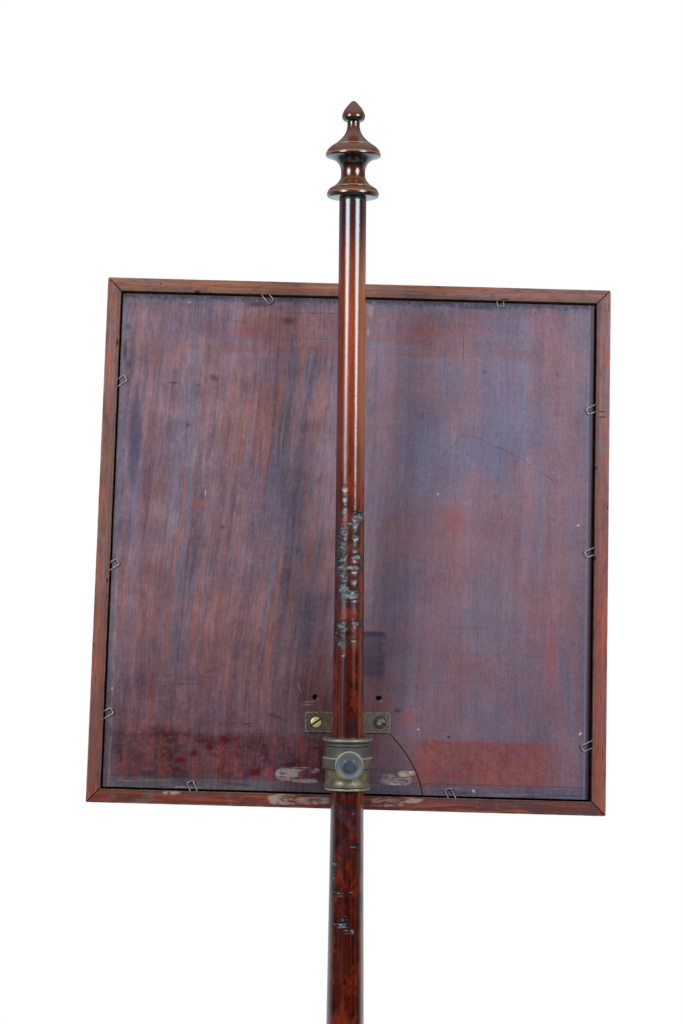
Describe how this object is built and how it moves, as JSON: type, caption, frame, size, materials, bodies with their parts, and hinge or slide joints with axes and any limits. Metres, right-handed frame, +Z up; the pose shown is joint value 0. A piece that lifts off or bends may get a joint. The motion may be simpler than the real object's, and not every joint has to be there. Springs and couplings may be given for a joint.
{
  "type": "pole screen",
  "caption": "Free-standing fire screen: a framed banner on a brass collar that slides and turns on a tapered wooden pole, clamped by a thumbscrew, over a turned pillar and tripod.",
  "frame": {"origin": "on the floor, at the middle of the footprint; the pole's axis is 55.5 mm behind it", "axes": "+Z up along the pole, +X to the right seen from the banner's back, +Y towards the banner's front"},
  "size_m": [0.4682, 0.3778, 1.44],
  "materials": {
    "mahogany_stand": "French-polished, dark red-brown",
    "mahogany_pole": "French-polished, worn where the collar rides",
    "frame_mahogany": "oiled, rubbed pale on the arrises",
    "backboard_mahogany": "old thin varnish with a grey bloom",
    "strainer_pine": "bare softwood",
    "needlework_wool": "wool cross stitch on canvas",
    "pane_glass": "clear old sheet glass",
    "collar_brass": "tarnished cast brass",
    "knob_brass": "tarnished, polished by handling",
    "plate_brass": "dark tarnished sheet brass",
    "bright_brass": "newer screw, bright",
    "dull_brass": "old screw, filled with dirt",
    "wrought_iron": "blackened iron",
    "staple_wire": "dulled steel wire"
  },
  "bodies": {
    "stand": {"pillar": "mahogany_stand", "leg_front": "mahogany_stand", "leg_left": "mahogany_stand", "leg_right": "mahogany_stand", "tripod_plate": "wrought_iron", "tripod_screws": "wrought_iron", "pole": "mahogany_pole", "finial": "mahogany_pole"},
    "carriage": {"upper_bush": "collar_brass", "lower_bush": "collar_brass"},
    "banner": {"collar": "collar_brass", "hanger_plate": "plate_brass", "hanger_rivets": "plate_brass", "hanger_screw_left": "bright_brass", "hanger_screw_right": "dull_brass", "frame_top": "frame_mahogany", "frame_bottom": "frame_mahogany", "frame_left": "frame_mahogany", "frame_right": "frame_mahogany", "mitre_pins": "wrought_iron", "backboard": "backboard_mahogany", "strainer_board": "strainer_pine", "needlework": "needlework_wool", "glass": "pane_glass", "staples": "staple_wire"},
    "clamp_shank": {"screw_shank": "collar_brass"},
    "clamp_knob": {"screw_knob": "knob_brass"}
  },
  "joints": [
    {"name": "height_slide", "type": "slide", "parent": "stand", "child": "carriage", "axis": [0, 0, 1], "range_m": [-0.08, 0.46]},
    {"name": "banner_swivel", "type": "hinge", "parent": "carriage", "child": "banner", "pos_m": [0, -0.0555, 0.859], "axis": [0, 0, 1], "continuous": true},
    {"name": "shank_travel", "type": "slide", "parent": "banner", "child": "clamp_shank", "axis": [0, 1, 0], "range_m": [-0.005, 0]},
    {"name": "knob_turn", "type": "hinge", "parent": "clamp_shank", "child": "clamp_knob", "pos_m": [0.0015, -0.0555, 0.8598], "axis": [0, 1, 0], "range_deg": [-1440, 0]}
  ],
  "couplings": [
    {"joint": "shank_travel", "follows": "knob_turn", "m_per_rad": 0.00019894}
  ]
}
